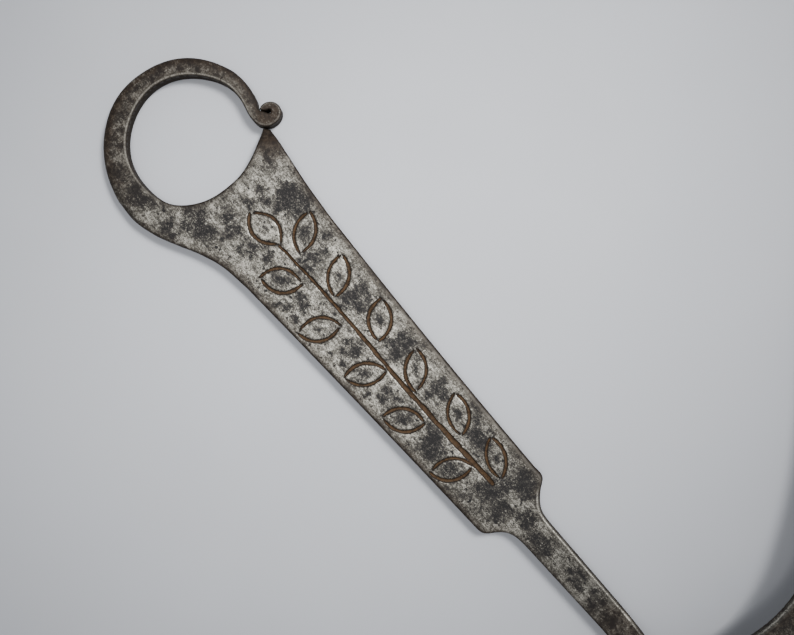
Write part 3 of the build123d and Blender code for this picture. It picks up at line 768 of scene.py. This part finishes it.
class Finish:
    """A small helper that adds nodes and joins them, left to right."""

    def __init__(self, name):
        self.material = bpy.data.materials.new(name)
        self.material.use_nodes = True
        self.tree = self.material.node_tree
        self.shader = self.tree.nodes["Principled BSDF"]
        self.count = 0
        place = self.node("ShaderNodeTexCoord").outputs["Object"]
        self.place = self.maths("SCALE", place, 1.0 / MM)

    def node(self, kind, **settings):
        """One node, set and put in its place on the sheet."""
        item = self.tree.nodes.new(kind)
        item.location = (-1800 + 190 * (self.count % 9), 500 - 230 * (self.count // 9))
        self.count += 1
        for key, value in settings.items():
            setattr(item, key, value)
        return item

    def join(self, source, target):
        """Links a socket, or sets a plain number or colour."""
        if isinstance(source, bpy.types.NodeSocket):
            self.tree.links.new(source, target)
        else:
            target.default_value = source

    def maths(self, operation, vector, value):
        """Vector maths with a number or another vector."""
        item = self.node("ShaderNodeVectorMath", operation=operation)
        self.join(vector, item.inputs[0])
        self.join(value, item.inputs["Scale"] if operation == "SCALE" else item.inputs[1])
        return item.outputs[0]

    def calc(self, operation, first, second=0.0, third=0.0, clamp=False):
        """Maths on numbers."""
        item = self.node("ShaderNodeMath", operation=operation, use_clamp=clamp)
        for socket, value in zip(item.inputs, (first, second, third)):
            self.join(value, socket)
        return item.outputs[0]

    def noise(self, size, detail=3.0, rough=0.6, stretch=None, seed=0.0):
        """Noise with features of about a size in millimetres, stretched if asked."""
        place = self.place
        if stretch:
            place = self.maths("MULTIPLY", place, stretch)
        place = self.maths("ADD", place, (seed * 37.3, seed * 11.9, seed * 5.1))
        item = self.node("ShaderNodeTexNoise")
        item.inputs["Scale"].default_value = 1.0 / size
        item.inputs["Detail"].default_value = detail
        item.inputs["Roughness"].default_value = rough
        self.join(place, item.inputs["Vector"])
        return item.outputs["Fac"]

    def ramp(self, value, low, high, start=0.0, end=1.0):
        """An S between two levels of a number."""
        item = self.node("ShaderNodeMapRange", interpolation_type="SMOOTHSTEP")
        for socket, number in zip(("Value", "From Min", "From Max", "To Min", "To Max"),
                                  (value, low, high, start, end)):
            self.join(number, item.inputs[socket])
        return item.outputs["Result"]

    def blend(self, share, first, second):
        """Mixes two colours."""
        item = self.node("ShaderNodeMix", data_type="RGBA")
        self.join(share, item.inputs[0])
        for value, socket in ((first, item.inputs[6]), (second, item.inputs[7])):
            self.join(value if isinstance(value, bpy.types.NodeSocket) else (*value, 1.0), socket)
        return item.outputs[2]

    def layer(self, name):
        """A number that the piece's own mesh carries."""
        return self.node("ShaderNodeAttribute", attribute_name=name).outputs["Fac"]

    def bump(self, height, strength, distance):
        """Fine relief in the shading, its depth in millimetres."""
        item = self.node("ShaderNodeBump")
        item.inputs["Strength"].default_value = strength
        item.inputs["Distance"].default_value = distance * MM
        self.join(height, item.inputs["Height"])
        self.join(item.outputs["Normal"], self.shader.inputs["Normal"])


def iron_finish(name, colours, tone):
    """Forged iron: pale metal worn through a dark pitted skin, brown at its edges, with painted shade on
    walls, arrises and cut lips, and painted glints and highlights.
    """
    finish = Finish(name)
    calc, ramp, blend = finish.calc, finish.ramp, finish.blend
    broad = finish.noise(8.0, 3.0, 0.5, seed=1)
    cluster = finish.noise(2.4, 5.0, 0.62, seed=2)
    speck = finish.noise(0.9, 4.0, 0.68, seed=3)
    grain = finish.noise(0.36, 2.0, 0.6, seed=4)
    drawn = finish.noise(0.6, 3.0, 0.6, stretch=(0.22, 1.0, 1.0), seed=5)
    patch, soot, rim = finish.layer("patch"), finish.layer("soot"), finish.layer("rim")
    bright, painted_wall_shade = finish.layer("bright"), finish.layer("wall")
    dots = ramp(finish.noise(1.4, 2.0, 0.5, seed=6), 0.64, 0.69)
    level = calc("MULTIPLY_ADD", patch, 0.82, calc("MULTIPLY_ADD", dots, 0.75, tone["dark"]))
    crisp = calc("MULTIPLY_ADD", patch, 1.5, 1.5)
    for noise, weight in ((broad, 1.0), (cluster, 1.2), (speck, crisp), (grain, crisp), (drawn, 0.9)):
        level = calc("MULTIPLY_ADD", calc("SUBTRACT", noise, 0.5), weight, level)
    # The lightest noise grains take the glint colour: painted glints
    colour = blend(ramp(level, -0.72, -0.34), colours.metal_glint, colours.metal_bright)
    colour = blend(ramp(level, -0.40, -0.04), colour, colours.metal_dull)
    colour = blend(ramp(level, -0.08, 0.22), colour, colours.pit)
    colour = blend(ramp(level, 0.12, 0.62), colour, colours.pit_deep)
    aged = calc("MULTIPLY_ADD", calc("SUBTRACT", cluster, 0.5), 1.2, calc("SUBTRACT", speck, 0.5))
    aged = calc("MULTIPLY_ADD", patch, 0.25, aged)
    brown = blend(ramp(aged, -0.16, 0.20), colours.brown, colours.brown_dark)
    colour = blend(calc("MULTIPLY", soot, ramp(level, -0.80, -0.40, 0.72, 1.0)), colour, brown)
    # Painted arris shade with some edge grime: a dark line along every edge, from the rim layer
    edge = calc("MULTIPLY", rim, ramp(speck, 0.3, 0.7, 1.0, 0.7))
    colour = blend(calc("MULTIPLY", edge, 0.9, clamp=True), colour, colours.edge)
    # Painted shade on the side walls, the undersides, the blade's ends and the wall of its cutting edge
    colour = blend(calc("MULTIPLY", painted_wall_shade, 0.92), colour, colours.wall)
    # Painted highlight: where the highlight layer is set, broken by grain noise, the colour turns to the
    # glint colour
    glint = calc("MULTIPLY_ADD", speck, 0.5, calc("MULTIPLY", grain, 0.5))
    glint = calc("MULTIPLY", bright, ramp(glint, 0.40, 0.60), clamp=True)
    colour = blend(glint, colour, colours.metal_glint)
    cover = calc("MAXIMUM", calc("MULTIPLY", soot, 0.85), painted_wall_shade)
    cover = calc("MAXIMUM", ramp(level, -0.10, 0.25), cover)
    cover = calc("SUBTRACT", calc("MAXIMUM", cover, edge), glint, clamp=True)
    rough = ramp(cover, 0.0, 1.0, 0.43, 0.62)
    off_wall = calc("SUBTRACT", 1.0, painted_wall_shade, clamp=True)
    metal = calc("MULTIPLY", ramp(cover, 0.0, 1.0, 0.85, 0.20), off_wall)
    if tone["cuts"]:
        cut = finish.layer("cut")
        # Painted shade on the lips of the chisel cuts, then rust on their floors
        cut_lip_shade = blend(ramp(cut, 0.02, 0.30), colour, colours.shaded_cut_lip)
        rust = blend(ramp(speck, 0.38, 0.66), colours.rust, colours.rust_dark)
        colour = blend(ramp(cut, 0.45, 0.85), cut_lip_shade, rust)
        metal = calc("MULTIPLY", metal, ramp(cut, 0.05, 0.3, 1.0, 0.0))
        rough = calc("ADD", rough, ramp(cut, 0.1, 0.5, 0.0, 0.3), clamp=True)
    finish.join(colour, finish.shader.inputs["Base Color"])
    finish.join(rough, finish.shader.inputs["Roughness"])
    finish.join(metal, finish.shader.inputs["Metallic"])
    finish.join(ramp(painted_wall_shade, 0.0, 1.0, 0.25, 0.04), finish.shader.inputs["Specular IOR Level"])
    relief = calc("MULTIPLY_ADD", speck, 0.6, calc("MULTIPLY", grain, 0.3))
    relief = calc("SUBTRACT", calc("MULTIPLY_ADD", drawn, 0.25, relief), calc("MULTIPLY", level, 0.25))
    finish.bump(relief, tone["bump"], 0.2)
    return finish.material


def floor_finish(colour):
    """A plain pale table top with the faintest unevenness."""
    finish = Finish("pale_table")
    cloud = finish.noise(90.0, 3.0, 0.5, seed=7)
    fleck = finish.noise(1.2, 2.0, 0.5, seed=8)
    shade = finish.ramp(cloud, 0.3, 0.7)
    darker = tuple(channel * 0.95 for channel in colour)
    mixed = finish.blend(shade, darker, tuple(colour))
    finish.join(mixed, finish.shader.inputs["Base Color"])
    finish.join(finish.ramp(fleck, 0.0, 1.0, 0.55, 0.65), finish.shader.inputs["Roughness"])
    finish.shader.inputs["Specular IOR Level"].default_value = 0.2
    return finish.material


# ---------------------------------------------------------------- settings

def amount(name, text, default, low=0.0, **more):
    """A number with a lower limit."""
    return bpy.props.FloatProperty(name=name, description=text, default=default, min=low, **more)


def millimetres(name, text, default):
    """A size in millimetres."""
    return amount(name, text, default, 0.01, max=50.0, precision=2)


def paint(name, text, default):
    """A linear colour."""
    return bpy.props.FloatVectorProperty(name=name, description=text, default=default, size=3,
                                         subtype="COLOR", min=0.0, max=1.0)


class SickleHandleSizes(bpy.types.PropertyGroup):
    """Sizes of the handle."""
    thickness: millimetres("Thickness", "Thickness of the plate and the shank, mm", 5.5)
    arris: millimetres("Arris", "Radius of the worn edges of the plate, mm", 0.85)
    bar_shoulder: millimetres("Bar shoulder", "Radius of the eye bar's outer shoulder, mm", 2.3)
    palm: millimetres("Palm", "Thickness of the palm under the blade, mm", 3.0)
    relief: millimetres("Relief", "Depth of the hammer marks, mm", 0.07)
    groove_width: millimetres("Cut width", "Width of the chisel cuts, mm", 1.12)
    groove_depth: millimetres("Cut depth", "Depth of the chisel cuts, mm", 0.5)


class SickleBladeSizes(bpy.types.PropertyGroup):
    """Sizes of the blade."""
    thickness: millimetres("Thickness", "Thickness of the blade, mm", 2.2)
    bevel: millimetres("Bevel", "Width of the bevel at the cutting edge, mm", 1.2)
    land: millimetres("Land", "Blunt edge left below the bevel, mm", 1.0)
    relief: millimetres("Relief", "Depth of the hammer marks, mm", 0.12)


class SickleRivetSizes(bpy.types.PropertyGroup):
    """Sizes of the rivets."""
    radius: millimetres("Radius", "Radius of the rivets' shanks, mm", 2.2)
    head_radius: millimetres("Head radius", "Radius of the domed heads, mm", 3.6)
    head_height: millimetres("Head height", "Height of the domed heads, mm", 1.7)


class SickleColours(bpy.types.PropertyGroup):
    """Colours of the iron, linear."""
    metal_bright: paint("Bright metal", "Iron where hands have worn it", (0.218, 0.208, 0.182))
    metal_dull: paint("Dull metal", "Iron between bright and dark", (0.080, 0.075, 0.064))
    # Painted glints and highlights: the lightest grains, and the light lines along arrises and edges
    metal_glint: paint("Glint", "The brightest grains and arrises", (0.43, 0.41, 0.355))
    pit: paint("Pits", "The dark pitted skin", (0.036, 0.032, 0.029))
    pit_deep: paint("Deep pits", "The darkest of the skin", (0.013, 0.012, 0.012))
    brown: paint("Brown", "Old brown skin on the eye, roll and horn", (0.040, 0.0275, 0.018))
    brown_dark: paint("Dark brown", "The darker spots of the brown skin", (0.014, 0.009, 0.006))
    # Painted arris shade with some edge grime
    edge: paint("Edge", "The dark line at each edge", (0.016, 0.011, 0.008))
    # Painted shade on the side walls and undersides
    wall: paint("Side", "The side walls", (0.022, 0.016, 0.011))
    rust: paint("Rust", "Rust in the chisel cuts", (0.074, 0.041, 0.018))
    rust_dark: paint("Dark rust", "Older rust in the chisel cuts", (0.030, 0.017, 0.008))
    shaded_cut_lip: paint("Cut edge", "The shaded lip of the chisel cuts", (0.010, 0.007, 0.005))


class SickleStage(bpy.types.PropertyGroup):
    """The table, the lights and the camera."""
    floor: paint("Table", "Colour of the table top", (0.595, 0.61, 0.645))
    key_power: amount("Main light", "Power of the main light", 0.355, unit="POWER")
    fill_power: amount("Second light", "Power of the second light", 0.090, unit="POWER")
    sky: amount("Room light", "Strength of the even room light", 0.36)
    camera_height: amount("Camera height", "Camera above the table", 0.3165, 0.01, unit="LENGTH")
    lens: amount("Lens", "Focal length in millimetres", 44.02, 1.0, unit="CAMERA")


# ---------------------------------------------------------------- operators

def finish_piece(item, material, node):
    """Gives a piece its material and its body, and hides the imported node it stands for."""
    item.data.materials.append(material)
    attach(item, "root")
    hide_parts(node)


class SICKLE_OT_handle(bpy.types.Operator):
    """Forge the handle with its eye, rolled tip, chiselled vine, shank and palm"""
    bl_idname = "sickle.handle"
    bl_label = "Handle"

    def execute(self, context):
        item = forge_handle(context.scene.sickle_handle)
        tone = {"dark": -0.20, "bump": 0.5, "cuts": True}
        material = iron_finish("worn_iron", context.scene.sickle_colours, tone)
        finish_piece(item, material, "handle")
        return {"FINISHED"}


class SICKLE_OT_blade(bpy.types.Operator):
    """Forge the hooked blade with its bevelled inner edge"""
    bl_idname = "sickle.blade"
    bl_label = "Blade"

    def execute(self, context):
        item = forge_blade(context.scene.sickle_blade)
        tone = {"dark": 0.08, "bump": 0.8, "cuts": False}
        material = iron_finish("dark_iron", context.scene.sickle_colours, tone)
        finish_piece(item, material, "blade")
        return {"FINISHED"}


class SICKLE_OT_rivets(bpy.types.Operator):
    """Peen the rivets that hold the blade on the palm"""
    bl_idname = "sickle.rivets"
    bl_label = "Rivets"

    def execute(self, context):
        scene = context.scene
        tone = {"dark": 0.15, "bump": 0.7, "cuts": False}
        material = iron_finish("rivet_iron", scene.sickle_colours, tone)
        for number, place in enumerate(rivet_places(), start=1):
            item = peen_rivet(scene.sickle_rivets, place, number, scene.sickle_blade.thickness,
                              scene.sickle_handle.palm)
            finish_piece(item, material, f"rivet_{number}")
        return {"FINISHED"}


def soft_light(name, place, power, size, opening):
    """A square light that faces the handle and fades away from its axis."""
    data = bpy.data.lights.new(name, "AREA")
    data.shape = "SQUARE"
    data.size = size
    data.spread = math.radians(opening)
    data.energy = power
    item = bpy.data.objects.new(name, data)
    item.location = place
    item.rotation_euler = (Vector(LIGHT_AIM) - Vector(place)).to_track_quat("-Z", "Y").to_euler()
    bpy.context.scene.collection.objects.link(item)


class SICKLE_OT_stage(bpy.types.Operator):
    """Set the pale table, the soft lights and the camera over the handle"""
    bl_idname = "sickle.stage"
    bl_label = "Stage"

    def execute(self, context):
        scene, stage = context.scene, context.scene.sickle_stage
        mesh = bpy.data.meshes.new("table")
        reach = TABLE_REACH
        mesh.from_pydata([(-reach, -reach, 0), (reach, -reach, 0), (reach, reach, 0), (-reach, reach, 0)],
                         [], [(0, 1, 2, 3)])
        table = bpy.data.objects.new("table", mesh)
        scene.collection.objects.link(table)
        mesh.materials.append(floor_finish(stage.floor))
        soft_light("main_light", MAIN_LIGHT, stage.key_power, 0.28, 30)
        soft_light("second_light", SECOND_LIGHT, stage.fill_power, 0.24, 36)
        world = bpy.data.worlds.new("room")
        world.use_nodes = True
        background = world.node_tree.nodes["Background"]
        background.inputs["Color"].default_value = (0.93, 0.95, 1.0, 1.0)
        background.inputs["Strength"].default_value = stage.sky
        scene.world = world
        camera_data = bpy.data.cameras.new("camera")
        camera_data.lens = stage.lens
        camera_data.sensor_width = 36.0
        camera_data.clip_start = 0.01
        camera = bpy.data.objects.new("camera", camera_data)
        camera.location = (*CAMERA_PLACE, stage.camera_height)
        camera.rotation_euler = (0.0, 0.0, math.radians(CAMERA_TURN))
        scene.collection.objects.link(camera)
        scene.camera = camera
        return {"FINISHED"}


class SICKLE_PT_panel(bpy.types.Panel):
    """Lists the steps and the settings in the sidebar."""
    bl_idname = "SICKLE_PT_panel"
    bl_label = "Forged Hand Sickle"
    bl_space_type = "VIEW_3D"
    bl_region_type = "UI"
    bl_category = "Sickle"

    def draw(self, context):
        column = self.layout.column()
        for kind in STEPS:
            column.operator(kind.bl_idname)
        for name, group in GROUPS.items():
            box = column.box()
            for field in group.__annotations__:
                box.prop(getattr(context.scene, name), field)


STEPS = (SICKLE_OT_handle, SICKLE_OT_blade, SICKLE_OT_rivets, SICKLE_OT_stage)
GROUPS = {"sickle_handle": SickleHandleSizes, "sickle_blade": SickleBladeSizes,
          "sickle_rivets": SickleRivetSizes, "sickle_colours": SickleColours, "sickle_stage": SickleStage}


def register():
    """Registers the classes and puts each group of settings on the scene."""
    for kind in (*GROUPS.values(), *STEPS, SICKLE_PT_panel):
        bpy.utils.register_class(kind)
    for name, group in GROUPS.items():
        setattr(bpy.types.Scene, name, bpy.props.PointerProperty(type=group))


def unregister():
    """Takes everything off again."""
    for name in GROUPS:
        delattr(bpy.types.Scene, name)
    for kind in reversed((*GROUPS.values(), *STEPS, SICKLE_PT_panel)):
        bpy.utils.unregister_class(kind)


def main():
    """Makes every piece in order."""
    register()
    bpy.ops.sickle.handle()
    bpy.ops.sickle.blade()
    bpy.ops.sickle.rivets()
    bpy.ops.sickle.stage()


if __name__ == "__main__":
    main()
